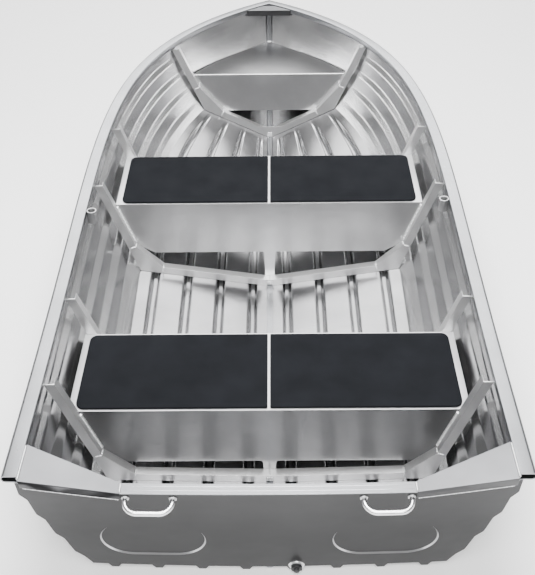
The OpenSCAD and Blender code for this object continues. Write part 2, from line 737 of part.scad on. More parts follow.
// Pads: two to a thwart, round at the corners
pad_edge = 8;
pad_end = 13;
pad_gap = 7;
pad_r = 18;
module pad(y, w, top) {
    wide = w / 2 - pad_end;
    x = pad_gap / 2;
    y0 = y + pad_edge;
    y1 = y + thwart_d - pad_edge;
    r_in = 4;
    color(black) translate([0, 0, top + weld]) linear_extrude(pad_t) {
        translate([x + r_in, y0]) square([wide - x - r_in - pad_r, y1 - y0]);
        translate([x, y0 + r_in]) square([r_in, y1 - y0 - 2 * r_in]);
        translate([wide - pad_r, y0 + pad_r]) square([pad_r, y1 - y0 - 2 * pad_r]);
        for (py = [y0 + r_in, y1 - r_in]) translate([x + r_in, py]) circle(r_in);
        for (py = [y0 + pad_r, y1 - pad_r]) translate([wide - pad_r, py]) circle(pad_r);
    }
}

// Short struts ahead of a thwart, from the gunwale down to its fore face
strut_lap = 44;
module strut(y, top) {
    fore = y + thwart_d + angle_w + 2 * weld;
    w = web_plane(fore);
    side_angle(fore, w, (top - strut_lap - chine_z(w)) / side_dir(w).y);
}

// Bow deck: a plate with straight sides that run in towards the stem, its aft face folded down
deck_gap = 9;
deck_nose_w = 56;
module bow_deck() {
    z = bow_deck_h;
    stem_y = mix(chine_end, sheer_end, (z - stem_foot_h) / (sheer_z(sheer_end) - stem_foot_h));
    nose = stem_y - deck_gap - keel_strip_t;
    half = bow_deck_w / 2;
    color(metal) {
        translate([0, 0, z - thwart_t]) linear_extrude(thwart_t) polygon([
            [half, bow_deck_y], [deck_nose_w / 2, nose], [-deck_nose_w / 2, nose], [-half, bow_deck_y]
        ]);
        across(bow_deck_y, thwart_t) face_outline(bow_deck_y, half, z, bow_face_h, leg = false);
    }
}

// Rowlock sockets: a bored tube level with the gunwale, and the web that joins it to the side
rowlock_drop = 2;
rowlock_web_t = 8;
rowlock_web_top = 26;
// Inside of the pressed side sheet at a height z in the transverse plane y
function side_inside(y, z) =
    let (v = (z - chine_z(y)) / (sheer_z(y) - chine_z(y)), p = side_at(y, v))
    p.x + side_bulge * 4 * v * (1 - v) + lap_depth * lookup(v, side_points) * smooth(lap_fade, y);
module rowlock(y) {
    edge = sheer_x(y) - rail_lip - weld;
    top = sheer_z(y) + rail_h - rowlock_drop;
    low = top - rowlock_l;
    web_top = top - rowlock_web_top;
    x = edge - rowlock_d / 2;
    color(bright) difference() {
        union() {
            translate([x, y, low]) cylinder(d = rowlock_d, h = rowlock_l);
            across(y - rowlock_web_t / 2, rowlock_web_t) polygon([
                [x, low], [side_inside(y, low) - 2 * weld, low],
                [side_inside(y, web_top) - 2 * weld, web_top], [x, web_top]
            ]);
        }
        translate([x, y, low - 1]) cylinder(d = rowlock_bore_d, h = rowlock_l + 2);
    }
}

function shown(name) = node == "all" || node == name;
module port() mirror([1, 0, 0]) children();

if (shown("bottom_port")) placed() port() bottom();
if (shown("bottom_starboard")) placed() bottom();
if (shown("side_port")) placed() port() side();
if (shown("side_starboard")) placed() side();
if (shown("keel_bar")) placed() keel_bar();
if (shown("keel_strip")) placed() keel_strip();
if (shown("transom")) placed() transom();
if (shown("transom_cap")) placed() transom_cap();
if (shown("corner_plate_port")) placed() port() corner_plate();
if (shown("corner_plate_starboard")) placed() corner_plate();
if (shown("handle_port")) placed() port() handle();
if (shown("handle_starboard")) placed() handle();
if (shown("drain_socket")) placed() drain_socket();
if (shown("drain_plug")) placed() drain_plug();
if (shown("gunwale_port")) placed() port() gunwale();
if (shown("gunwale_starboard")) placed() gunwale();
if (shown("breasthook")) placed() breasthook();
if (shown("stern_frame_side_port")) placed() port() frame_side(stern_thwart_y);
if (shown("stern_frame_side_starboard")) placed() frame_side(stern_thwart_y);
if (shown("stern_frame_knees")) placed() both_sides() frame_knee(stern_thwart_y);
if (shown("stern_frame_floor")) placed() frame_floor(stern_thwart_y);
if (shown("mid_frame_side_port")) placed() port() frame_side(mid_thwart_y);
if (shown("mid_frame_side_starboard")) placed() frame_side(mid_thwart_y);
if (shown("mid_frame_knees")) placed() both_sides() frame_knee(mid_thwart_y);
if (shown("mid_frame_floor")) placed() frame_floor(mid_thwart_y);
if (shown("bow_frame_side_port")) placed() port() frame_side(bow_deck_y);
if (shown("bow_frame_side_starboard")) placed() frame_side(bow_deck_y);
if (shown("bow_frame_knees")) placed() both_sides() frame_knee(bow_deck_y);
if (shown("bow_frame_floor")) placed() frame_floor(bow_deck_y, gusset_w);
if (shown("stern_thwart")) placed() thwart(stern_thwart_y, stern_thwart_w, stern_thwart_h);
if (shown("mid_thwart")) placed() thwart(mid_thwart_y, mid_thwart_w, mid_thwart_h);
if (shown("bow_deck")) placed() bow_deck();
if (shown("stern_pad_port")) placed() port() pad(stern_thwart_y, stern_thwart_w, stern_thwart_h);
if (shown("stern_pad_starboard")) placed() pad(stern_thwart_y, stern_thwart_w, stern_thwart_h);
if (shown("mid_pad_port")) placed() port() pad(mid_thwart_y, mid_thwart_w, mid_thwart_h);
if (shown("mid_pad_starboard")) placed() pad(mid_thwart_y, mid_thwart_w, mid_thwart_h);
if (shown("stern_strut_port")) placed() port() strut(stern_thwart_y, stern_thwart_h);
if (shown("stern_strut_starboard")) placed() strut(stern_thwart_y, stern_thwart_h);
if (shown("mid_strut_port")) placed() port() strut(mid_thwart_y, mid_thwart_h);
if (shown("mid_strut_starboard")) placed() strut(mid_thwart_y, mid_thwart_h);
if (shown("rowlock_port")) placed() port() rowlock(rowlock_y - rowlock_stagger);
if (shown("rowlock_starboard")) placed() rowlock(rowlock_y);
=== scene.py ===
"""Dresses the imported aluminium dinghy.

Smooth hull sheets, a bow deck plate, seat pads, welds and metal finishes, with a floor, light and camera.
"""
import math

import bpy
from mathutils import Matrix, Vector


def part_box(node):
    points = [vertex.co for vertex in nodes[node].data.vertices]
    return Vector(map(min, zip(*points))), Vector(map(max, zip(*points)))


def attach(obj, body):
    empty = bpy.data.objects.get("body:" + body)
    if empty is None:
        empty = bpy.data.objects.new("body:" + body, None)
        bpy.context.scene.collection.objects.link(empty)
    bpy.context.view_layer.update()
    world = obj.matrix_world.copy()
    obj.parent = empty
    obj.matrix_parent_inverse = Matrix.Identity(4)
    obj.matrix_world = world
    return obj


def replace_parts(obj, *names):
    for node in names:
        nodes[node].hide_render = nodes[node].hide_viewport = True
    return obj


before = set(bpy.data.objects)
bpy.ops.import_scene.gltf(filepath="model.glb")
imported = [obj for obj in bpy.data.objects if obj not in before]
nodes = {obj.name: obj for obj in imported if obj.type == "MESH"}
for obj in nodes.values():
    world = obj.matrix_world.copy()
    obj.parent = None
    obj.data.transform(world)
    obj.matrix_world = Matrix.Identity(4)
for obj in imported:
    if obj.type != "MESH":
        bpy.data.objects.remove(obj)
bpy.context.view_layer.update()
MM = 0.001

# Sizes of the boat in millimetres and shares, most of them as in the part's source.
# y runs forward from the stern end of the gunwale, z up from the inside of the keel.
BOAT_L, BEAM, CHINE_BEAM = 2702, 1278, 948
SHEER_H, BOW_RISE = 403, 104
STEM_FOOT_H, STEM_OVERHANG, CHINE_H = 285, 78, 10
TRANSOM_LEAN, TRANSOM_R, TRANSOM_T = 58, 13500, 3
KEEL_STRAIGHT_L = 1265
SIDE_T, BOTTOM_T = 2, 2.5
STRAKES, STRAKE_FIRST, STRAKE_PITCH = 4, 63, 118
STRAKE_W, STRAKE_FOOT_W, STRAKE_DEPTH = 32, 16, 16
LAPS, LAP_DEPTH, SIDE_BULGE = 4, 10, 12
LAP_BOTTOM, LAP_LEDGE = 0.09, 0.065
LAP_SPREAD, LAP_FOOT, LAP_CREST = 0.95, 0.2, 1.2
STRAKE_ROUND, LAP_ROUND = 5, 7
RAIL_W, RAIL_H, RAIL_WALL, RAIL_LIP = 42, 22, 3, 8
RAIL_FOOT, RAIL_ROUND = 2, 0.42
MOTOR_HALF_W, MOTOR_H, CAP_W, FITTING_T = 358, 375, 32, 3
CORNER_L, CORNER_LIP = 116, 30
HANDLE_X, HANDLE_W, HANDLE_ROD_D, HANDLE_DROP = 289, 116, 13, 26
ANGLE_W, ANGLE_H, ANGLE_T, FRAME_IN = 28, 27, 3, 3
KNEE_UP, KNEE_IN = 103, 80
KEEL_STRIP_W, KEEL_STRIP_T = 20, 3
STERN_THWART_Y, MID_THWART_Y, BOW_DECK_Y = 365, 1296, BOAT_L - 434
FRAMES_Y = (STERN_THWART_Y, MID_THWART_Y, BOW_DECK_Y)
STERN_THWART_H, MID_THWART_H, THWART_T = 270, 345, 3
PAD_SHORT, PAD_R_IN, PAD_R_OUT, PAD_R_LEAST = 6, 4, 24, 0.5
DECK_H, DECK_HALF_W, DECK_NOSE_Y = 370, 326, 2597
DECK_FACE_H, DECK_TOE_BACK, DECK_FOLD_R, DECK_GAP = 172, 30, 4, (20, 4)
DECK_BEND_UP, DECK_BEND_KNEE = 20, 0.9
SLOT, WELD = 6, 0.3
SHEER_START, SHEER_FULL, SHEER_NOSE = 252, 5.8, 0.976
CHINE_FULL, CHINE_NOSE, CHINE_SWEEP, KEEL_SWEEP = 8.28, 1.4, 1.95, 4.46
LAP_FADE = (BOW_DECK_Y - 190, BOW_DECK_Y + 40)
STRAKE_FADE = (BOW_DECK_Y - 190, BOW_DECK_Y - 30)
RAIL_OUT = RAIL_W - RAIL_LIP

# Rows of the hull's meshes, the share of the chine that the bottom sheet covers, and the share of the length
# either side of a point that gives the direction there
HULL_ROWS, RAIL_ROWS = 120, 150
BOTTOM_END, NEAR = 0.996, 0.004

# The hull's own origin in the frame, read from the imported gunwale
rail_low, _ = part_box("gunwale_starboard")
STERN_Y = rail_low[1]
GROUND = rail_low[2] - SHEER_H * MM


def place(p):
    """A point of the hull in millimetres, as metres in the frame."""
    return Vector((p[0] * MM, p[1] * MM + STERN_Y, p[2] * MM + GROUND))


# Hull lines

def mix(a, b, t):
    return a + (b - a) * t


def fade_out(edges, y):
    t = min(1, max(0, (y - edges[0]) / (edges[1] - edges[0])))
    return 1 - t * t * (3 - 2 * t)


NOSE_BIT = 0.004
nose_rise = (BEAM / 2 - RAIL_OUT - SLOT) * (1 - (1 - NOSE_BIT) ** SHEER_FULL) ** SHEER_NOSE
nose_angle = math.atan(nose_rise / (NOSE_BIT * (BOAT_L - RAIL_W - SHEER_START)))
SHEER_END = BOAT_L - RAIL_OUT / math.sin(nose_angle) - SLOT / math.tan(nose_angle)
CHINE_START, CHINE_END = TRANSOM_LEAN, SHEER_END - STEM_OVERHANG


def camber(x):
    return TRANSOM_R - math.sqrt(TRANSOM_R ** 2 - x * x)


transom_rise = SHEER_H - CHINE_H
RAKE = math.atan(TRANSOM_LEAN / transom_rise) + math.asin(
    (camber(BEAM / 2 - RAIL_OUT) - camber(CHINE_BEAM / 2)) / math.hypot(transom_rise, TRANSOM_LEAN))
TRANSOM_FOOT = CHINE_START - camber(CHINE_BEAM / 2) / math.cos(RAKE)


def transom_y(z, x=0.0):
    return TRANSOM_FOOT - (z - CHINE_H) * math.tan(RAKE) + camber(x) / math.cos(RAKE)


def chine_t(y):
    return max(0, (y - CHINE_START) / (CHINE_END - CHINE_START))


def chine_x(y):
    return SLOT + (CHINE_BEAM / 2 - SLOT) * max(0, 1 - chine_t(y) ** CHINE_FULL) ** CHINE_NOSE


def chine_z(y):
    return CHINE_H + (STEM_FOOT_H - CHINE_H) * chine_t(y) ** CHINE_SWEEP


def keel_z(y):
    return STEM_FOOT_H * (max(0, y - KEEL_STRAIGHT_L) / (CHINE_END - KEEL_STRAIGHT_L)) ** KEEL_SWEEP


def sheer_t(y):
    return max(0, (y - SHEER_START) / (SHEER_END - SHEER_START))


def sheer_x(y):
    return SLOT + (BEAM / 2 - RAIL_OUT - SLOT) * max(0, 1 - sheer_t(y) ** SHEER_FULL) ** SHEER_NOSE


def sheer_z(y):
    return SHEER_H + BOW_RISE * (1 - math.cos(math.pi * min(1, sheer_t(y)))) / 2


def bottom_at(y, x):
    return keel_z(y) + (chine_z(y) - keel_z(y)) / chine_x(y) * x


def chine_p(u):
    y = mix(CHINE_START, CHINE_END, u)
    return Vector((chine_x(y), y, chine_z(y)))


def sheer_p(u):
    y = SHEER_END * u
    return Vector((sheer_x(y), y, sheer_z(y)))


def side_p(u, v):
    return chine_p(u).lerp(sheer_p(u), v)


def flat_normal(a, b):
    """Outward direction in plan of a line that runs forward from a to b on the starboard side."""
    d = b - a
    return Vector((d.y, -d.x, 0)).normalized()


def side_u(y, v):
    start, length = mix(CHINE_START, 0, v), mix(CHINE_END - CHINE_START, SHEER_END, v)
    return (y - start) / length


def side_at(y, v):
    return side_p(side_u(y, v), v)


def side_v(y, z):
    """How far up the side a height is, in the transverse plane y."""
    low, high = 0.0, 1.0
    for _ in range(40):
        v = (low + high) / 2
        low, high = (v, high) if side_at(y, v).z < z else (low, v)
    return v


BULGE_FADE = (0.9, 1)


def bulge_at(u, v):
    """How far the side sheet is sprung out of its ruled line."""
    return SIDE_BULGE * 4 * v * (1 - v) * fade_out(BULGE_FADE, u)


# Mesh building

def stations(count, bunching=1.5):
    """Shares of the length, drawn together towards the bow."""
    return [1 - (1 - i / count) ** bunching for i in range(count + 1)]


def rounded(points, reach, steps=4):
    """A polyline with its corners rounded from `reach` before each to `reach` after it."""
    most = 0.45  # of a leg
    line = [points[0]]
    for a, b, c in zip(points, points[1:], points[2:]):
        start = b.lerp(a, min(most, reach / (a - b).length))
        end = b.lerp(c, min(most, reach / (c - b).length))
        for k in range(steps + 1):
            t = k / steps
            line.append(start * (1 - t) ** 2 + b * 2 * t * (1 - t) + end * t * t)
    return line + [points[-1]]


def new_piece(name, verts, faces, finish):
    mesh = bpy.data.meshes.new(name)
    mesh.from_pydata(verts, [], faces)
    mesh.shade_smooth()
    mesh.materials.append(finish)
    piece = bpy.data.objects.new(name, mesh)
    bpy.context.scene.collection.objects.link(piece)
    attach(piece, "root")
    return piece


def grid_faces(rows, columns, closed=False):
    span = columns if closed else columns - 1
    return [(i * columns + j, i * columns + (j + 1) % columns,
             (i + 1) * columns + (j + 1) % columns, (i + 1) * columns + j)
            for i in range(rows - 1) for j in range(span)]


def sheet_piece(name, rows, thickness, finish, closed=False, back=None):
    """A sheet through rows of hull points, thickened away from the side that its normals show.

    The far side of the sheet may have a finish of its own.
    """
    verts = [place(p) for row in rows for p in row]
    piece = new_piece(name, verts, grid_faces(len(rows), len(rows[0]), closed), finish)
    thick = piece.modifiers.new("sheet", "SOLIDIFY")
    thick.thickness = thickness * MM
    thick.offset = -1
    if back:
        piece.data.materials.append(back)
        thick.material_offset = 1
    crisp = piece.modifiers.new("crisp_rims", "EDGE_SPLIT")
    crisp.split_angle = math.radians(50)
    return piece


def other_side(rows):
    """Rows of the starboard half mirrored to port, with the same side facing out."""
    return [[Vector((-p[0], p[1], p[2])) for p in reversed(row)] for row in rows]


def sheet_pair(name, rows, thickness, finish, closed=False, back=None):
    for side, these in (("starboard", rows), ("port", other_side(rows))):
        piece = sheet_piece(f"{name}_sheet_{side}", these, thickness, finish, closed, back)
        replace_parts(piece, f"{name}_{side}")


# Hull sheets

def on_transom(rows):
    """The stern row of a sheet is cut off by the transom."""
    rows[0] = [Vector((p.x, transom_y(p.z, p.x), p.z)) for p in rows[0]]
    return rows


def bottom_rows():
    corners = [Vector((SLOT, 0))]
    for k in range(STRAKES):
        x = STRAKE_FIRST + k * STRAKE_PITCH
        corners += [Vector((x - STRAKE_W / 2, 0)), Vector((x - STRAKE_FOOT_W / 2, STRAKE_DEPTH)),
                    Vector((x + STRAKE_FOOT_W / 2, STRAKE_DEPTH)), Vector((x + STRAKE_W / 2, 0))]
    corners.append(Vector((CHINE_BEAM / 2, 0)))
    profile = rounded(corners, STRAKE_ROUND)
    rows = []
    for u in stations(HULL_ROWS):
        y = mix(CHINE_START, CHINE_END, BOTTOM_END * u)
        draw = (chine_x(y) - SLOT) / (CHINE_BEAM / 2 - SLOT)
        fade = fade_out(STRAKE_FADE, y)
        across = [(SLOT + (p.x - SLOT) * draw, p.y * fade) for p in profile]
        rows.append([Vector((x, y, bottom_at(y, x) - deep)) for x, deep in across])
    return on_transom(rows)


def side_rows():
    span = (side_p(0, 1) - side_p(0, 0)).length
    corners = [Vector((0, 0))]
    for k in range(LAPS):
        v = LAP_BOTTOM + k * LAP_SPREAD / LAPS
        corners += [Vector((v * span, LAP_FOOT * LAP_DEPTH)),
                    Vector(((v + LAP_LEDGE) * span, LAP_CREST * LAP_DEPTH))]
    corners.append(Vector((span, LAP_FOOT * LAP_DEPTH)))
    profile = rounded(corners, LAP_ROUND)
    rows = []
    for u in stations(HULL_ROWS):
        out = flat_normal(side_p(max(0, u - NEAR), 0.5), side_p(min(1, u + NEAR), 0.5))
        fade = fade_out(LAP_FADE, side_p(u, 0.5).y)
        row = []
        for p in profile:
            v = p.x / span
            row.append(side_p(u, v) + out * (bulge_at(u, v) + p.y * fade))
        rows.append(row)
    return on_transom(rows)


def rail_rows():
    """The gunwale's section swept along the sheer: round outside, soft inside, mitred at the bow."""
    r, steps = RAIL_H * RAIL_ROUND, 8
    section = rounded([Vector((RAIL_FOOT, 0)), Vector((-RAIL_LIP, 0)), Vector((-RAIL_LIP, RAIL_H)),
                       Vector((RAIL_OUT - r, RAIL_H))], r / 2)
    section += [Vector((RAIL_OUT - r + r * math.cos(a), RAIL_H - r + r * math.sin(a)))
                for a in (math.radians(90 - 90 * k / steps) for k in range(1, steps + 1))]
    section += [Vector((RAIL_OUT - r * back, r * up)) for back, up in ((0, 0.9), (0.4, 0.25), (1.1, 0))]
    rows = []
    for u in stations(RAIL_ROWS):
        a, b = sheer_p(max(0, u - NEAR)), sheer_p(min(1, u + NEAR))
        along = Vector((b.x - a.x, b.y - a.y, 0)).normalized()
        out = flat_normal(a, b)
        ring = [sheer_p(u) + out * s.x + Vector((0, 0, s.y)) for s in section]
        if u == 1:
            ring = [q + along * ((WELD / 2 - q.x) / along.x) for q in ring]
        rows.append(ring)
    return rows


# Bow deck

def deck_half(y):
    """Half width of the bow deck, clear of the side sheet by a gap that closes towards the stem."""
    v, step = side_v(y, DECK_H), 10
    out = flat_normal(side_at(y - step, v), side_at(y + step, v))
    gap = mix(*DECK_GAP, (y - BOW_DECK_Y) / (DECK_NOSE_Y - BOW_DECK_Y))
    return min(DECK_HALF_W, side_at(y, v).x + (bulge_at(side_u(y, v), v) - gap) / out.x)


def deck_rows():
    """The deck as one folded plate: up its aft face, round the fold and forward to the stem."""
    low, r, flat = DECK_H - DECK_FACE_H, DECK_FOLD_R, 0.5
    bend = max(low + DECK_BEND_UP, chine_z(BOW_DECK_Y) + KNEE_UP * DECK_BEND_KNEE)
    narrow = DECK_HALF_W + (side_at(BOW_DECK_Y, side_v(BOW_DECK_Y, bend)).x
                            - side_at(BOW_DECK_Y, side_v(BOW_DECK_Y, DECK_H)).x)
    toe = frame_corner(BOW_DECK_Y + ANGLE_W - ANGLE_T, KNEE_IN - DECK_TOE_BACK, ANGLE_H, False).x
    line = [(toe, BOW_DECK_Y, low), (narrow, BOW_DECK_Y, bend), (DECK_HALF_W, BOW_DECK_Y, DECK_H - r - flat)]
    for a in (math.radians(22.5 * k) for k in range(5)):
        line.append((DECK_HALF_W, BOW_DECK_Y + r - r * math.cos(a), DECK_H - r + r * math.sin(a)))
    steps = 28
    for k in range(steps + 1):
        y = mix(BOW_DECK_Y + r + flat, DECK_NOSE_Y, k / steps)
        line.append((deck_half(y), y, DECK_H))
    return [[Vector((-x, y, z)), Vector((x, y, z))] for x, y, z in line]


def deck_welds():
    """A bead that holds the deck's nose to the strip up the stem."""
    half, y = 9, DECK_NOSE_Y + 4
    return [[(-half, y, DECK_H), (half, y, DECK_H)]]


# Seat pads

def pad_outline(low, high, corner_in, corner_out, inset, steps=6):
    """A rectangle with round corners in plan, its outboard corners rounder, set in from its edge."""
    outboard = 1 if low.x + high.x > 0 else -1
    loop = []
    for sx, sy, turn in ((1, 1, 0), (-1, 1, 90), (-1, -1, 180), (1, -1, 270)):
        r = corner_out if sx == outboard else corner_in
        cx = high.x - r if sx > 0 else low.x + r
        cy = high.y - r if sy > 0 else low.y + r
        keep = max(r - inset, PAD_R_LEAST * MM)
        slip = inset - (r - keep)
        for k in range(steps + 1):
            a = math.radians(turn + 90 * k / steps)
            loop.append(Vector((cx - sx * slip + keep * math.cos(a), cy - sy * slip + keep * math.sin(a), 0)))
    return loop


def seat_pad(node, finish):
    """A sheet of foam with a rounded top edge and a slight crown, a little short of the solid outboard."""
    low, high = (Vector(c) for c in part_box(node))
    if low.x > 0:
        high.x -= PAD_SHORT * MM
    else:
        low.x += PAD_SHORT * MM
    edge, crown = 2 * MM, 1.2 * MM
    reach = (high.y - low.y) / 2
    rings = [(0.3 * MM, low.z), (0, low.z + edge / 2), (0, high.z - edge)]
    rings += [(edge * (1 - math.cos(a)), high.z - edge + edge * math.sin(a))
              for a in (math.radians(30 * k) for k in (1, 2, 3))]
    rings += [(reach * s, high.z + crown * (1 - (1 - s) ** 3)) for s in (0.06, 0.14, 0.25, 0.45, 0.7, 0.93)]
    verts = []
    for inset, z in rings:
        for p in pad_outline(low, high, PAD_R_IN * MM, PAD_R_OUT * MM, inset):
            verts.append(Vector((p.x, p.y, z)))
    n = len(verts) // len(rings)
    faces = grid_faces(len(rings), n, closed=True)
    faces += [tuple(reversed(range(n))), tuple(range(n * (len(rings) - 1), n * len(rings)))]
    pad = new_piece(f"{node}_foam", verts, faces, finish)
    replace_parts(pad, node)


# Welds

def bead(line, radius, ripple=6.0):
    """Verts and faces of a rippled weld bead along a line of hull points."""
    length = sum((b - a).length for a, b in zip(line, line[1:]))
    count = max(8, int(length / ripple * 6))
    verts, sides = [], 8
    aside = Vector((0, 0.31, 0.95))  # no bead runs this way
    for i in range(count + 1):
        at = length * i / count
        for a, b in zip(line, line[1:]):
            if at <= (b - a).length + 1e-6:
                break
            at -= (b - a).length
        along = (b - a).normalized()
        centre = a + along * at
        right = along.cross(aside).normalized()
        up = right.cross(along)
        far = length * i / count
        # round tips, even ripples, and a slower unevenness over them
        tip = min(1, far / radius, (length - far) / radius)
        wave = 0.72 + 0.28 * abs(math.sin(math.pi * far / ripple)) + 0.06 * math.sin(far * 0.37)
        r = radius * wave * math.sqrt(max(0.02, tip * (2 - tip)))
        for k in range(sides):
            angle = 2 * math.pi * k / sides
            verts.append(place(centre + (right * math.cos(angle) + up * math.sin(angle)) * r))
    faces = grid_faces(count + 1, sides, closed=True)
    faces += [tuple(reversed(range(sides))), tuple(range(count * sides, (count + 1) * sides))]
    return verts, faces


def at_each(places, lines_at):
    """The lines of one kind at several places along the boat, as one list."""
    return [line for y in places for line in lines_at(y)]


def weld_piece(name, lines, radius, finish, both=True):
    """All beads of one kind as one piece, on both sides of the boat unless said otherwise."""
    verts, faces = [], []
    lines = [[Vector(p) for p in line] for line in lines]
    if both:
        lines += [[Vector((-p.x, p.y, p.z)) for p in line] for line in lines]
    for line in lines:
        v, f = bead(line, radius)
        faces += [tuple(len(verts) + k for k in face) for face in f]
        verts += v
    return new_piece(name, verts, faces, finish)


def off_transom(x, z, out):
    """A point that stands off the transom's inner face by `out`, measured outward."""
    return Vector((x, transom_y(z, x) - out * math.cos(RAKE), z - out * math.sin(RAKE)))


CAP_BACK = TRANSOM_T + FITTING_T + 2 * WELD + 1
CORNER_X = sheer_x(0) - RAIL_LIP
CORNER_Z = SHEER_H + RAIL_H - 4


def corner_welds():
    """Along the gunwale, where plate and cap meet, and under the folded lip."""
    stop, cap_stop, lip_stop = 4, 2, 6
    back = transom_y(CORNER_Z, CORNER_X) - CAP_BACK
    cap = transom_y(MOTOR_H, MOTOR_HALF_W) - CAP_BACK
    lip = []
    for t in (0, 0.25, 0.5, 0.75, 1):
        x = mix(MOTOR_HALF_W + stop, CORNER_X - lip_stop, t)
        z = mix(MOTOR_H - CORNER_LIP, CORNER_Z - CORNER_LIP - stop, t)
        lip.append(off_transom(x, z, TRANSOM_T + 1))
    return [
        [(CORNER_X, back + stop, CORNER_Z), (CORNER_X, back + CORNER_L - stop, CORNER_Z)],
        [(MOTOR_HALF_W, cap + cap_stop, MOTOR_H), (MOTOR_HALF_W, cap + CAP_W - cap_stop, MOTOR_H)],
        lip,
    ]


def handle_welds():
    """A ring round each foot of a handle."""
    lines, steps = [], 12
    r, z = HANDLE_ROD_D / 2 + 1, MOTOR_H - HANDLE_DROP
    for x in (HANDLE_X - HANDLE_W / 2, HANDLE_X + HANDLE_W / 2):
        ring = []
        for k in range(steps + 1):
            a = 2 * math.pi * k / steps
            ring.append(off_transom(x + r * math.cos(a), z + r * math.sin(a), TRANSOM_T + 1.5))
        lines.append(ring)
    return lines


def frame_chine(y):
    return Vector((chine_x(y) - FRAME_IN, 0, chine_z(y)))


def frame_corner(y, along, deep, up):
    """A point of a frame, from the chine up the side or in along the bottom, set in by a depth."""
    w = y - ANGLE_W + ANGLE_T
    chine = frame_chine(w)
    top = side_at(w, 1)
    to = Vector((top.x - FRAME_IN, 0, top.z)) if up else Vector((0, 0, keel_z(w)))
    d = (to - chine).normalized()
    inward = Vector((-d.z, 0, d.x)) if up else Vector((d.z, 0, -d.x))
    p = chine + d * along + inward * deep
    return Vector((p.x, w, p.z))


def frame_welds(y):
    """Across the flanges at both ends of each knee, and down the webs beside them."""
    lines, stop, proud = [], 6, Vector((0, 3, 0))
    for up, along in ((True, KNEE_UP), (False, KNEE_IN)):
        inner = frame_corner(y, along, ANGLE_H, up)
        outer = frame_corner(y, along, stop, up)
        lines.append([inner + Vector((0, 1, 0)), inner + Vector((0, ANGLE_W - stop, 0))])
        lines.append([inner - proud, outer - proud])
    return lines


def thwart_welds(y, top):
    """A bead where a frame's flange meets the thwart's face, from the knee up to the thwart's top."""
    start, reach, stop, proud = 4, 100, 8, 1.5
    low, high = (frame_corner(y, KNEE_UP + far, ANGLE_H, True) for far in (start, start + reach))
    end = low.lerp(high, (top - stop - low.z) / (high.z - low.z))
    face = Vector((0, ANGLE_W - ANGLE_T - proud, 0))
    return [[low + face, end + face]]


def keel_top(y):
    """Height of the floor flanges over the keel, at a frame's web."""
    w = y - ANGLE_W + ANGLE_T
    slope = (chine_z(w) - keel_z(w)) / chine_x(w)
    return keel_z(w) + ANGLE_H * math.sqrt(1 + slope * slope)


def keel_welds(y):
    """A short bead over the keel, where the floor flanges meet."""
    z = keel_top(y) - 0.5
    return [[(0, y - ANGLE_W + 1, z), (0, y - 3, z)]]


def keel_fill(y):
    """Upright beads that fill the room between the two webs, over the keel strip."""
    web = y - ANGLE_W + ANGLE_T / 2
    low, high = keel_z(web) + KEEL_STRIP_T + 2, keel_top(y) - ANGLE_T
    return [[(x, web, low), (x, web, high)] for x in (-KEEL_STRIP_W / 3, 0, KEEL_STRIP_W / 3)]


# Finishes

def shader_tree(name):
    mat = bpy.data.materials.new(name)
    mat.use_nodes = True
    tree = mat.node_tree
    return mat, tree, tree.nodes["Principled BSDF"]


def noise(tree, scale, stretch=(1, 1, 1), detail=3.0):
    """Noise in metres on the object, stretched along an axis by a small factor there."""
    place_node = tree.nodes.new("ShaderNodeTexCoord")
    mapping = tree.nodes.new("ShaderNodeMapping")
    mapping.inputs["Scale"].default_value = stretch
    texture = tree.nodes.new("ShaderNodeTexNoise")
    texture.inputs["Scale"].default_value = scale
    texture.inputs["Detail"].default_value = detail
    tree.links.new(place_node.outputs["Object"], mapping.inputs["Vector"])
    tree.links.new(mapping.outputs["Vector"], texture.inputs["Vector"])
    return texture.outputs["Fac"]


def spread(tree, source, low, high, start=0.3, stop=0.7):
    """Takes a noise from start..stop to low..high."""
    ranged = tree.nodes.new("ShaderNodeMapRange")
    ranged.inputs["From Min"].default_value = start
    ranged.inputs["From Max"].default_value = stop
    ranged.inputs["To Min"].default_value = low
    ranged.inputs["To Max"].default_value = high
    tree.links.new(source, ranged.inputs["Value"])
    return ranged.outputs["Result"]


def tint(tree, source, dark, light):
    """A colour between two by a noise."""
    ramp = tree.nodes.new("ShaderNodeValToRGB")
    ramp.color_ramp.elements[0].position = 0.3
    ramp.color_ramp.elements[1].position = 0.7
    ramp.color_ramp.elements[0].color = (*dark, 1)
    ramp.color_ramp.elements[1].color = (*light, 1)
    tree.links.new(source, ramp.inputs["Fac"])
    return ramp.outputs["Color"]


def add_bump(tree, shader, height, strength, distance):
    bump = tree.nodes.new("ShaderNodeBump")
    bump.inputs["Strength"].default_value = strength
    bump.inputs["Distance"].default_value = distance
    tree.links.new(height, bump.inputs["Height"])
    tree.links.new(bump.outputs["Normal"], shader.inputs["Normal"])


def paint_light_by_facing(tree, colour, painted_tone, axis, start, stop):
    """Paints light and shade: goes from one colour to another as a face's normal goes from start to stop
    along an axis.
    """
    facing = tree.nodes.new("ShaderNodeNewGeometry")
    parts = tree.nodes.new("ShaderNodeSeparateXYZ")
    both = tree.nodes.new("ShaderNodeMix")
    both.data_type = "RGBA"
    tree.links.new(facing.outputs["True Normal"], parts.inputs["Vector"])
    tree.links.new(spread(tree, parts.outputs[axis], 0, 1, start, stop), both.inputs["Factor"])
    tree.links.new(colour, both.inputs["A"])
    tree.links.new(painted_tone, both.inputs["B"])
    return both.outputs["Result"]


def shades(tone, wear):
    """The darker and the lighter of a worn tone."""
    return tuple(c * (1 - wear) for c in tone), tuple(min(1, c * (1 + wear * 0.5)) for c in tone)


# The axis, and where along it a face's normal starts and stops turning into one that looks aft or up, for
# painted light and shade
AFT_PAINTED_LIGHT, UP_PAINTED_LIGHT = ("Y", -0.78, -0.93), ("Z", 0.26, 0.46)


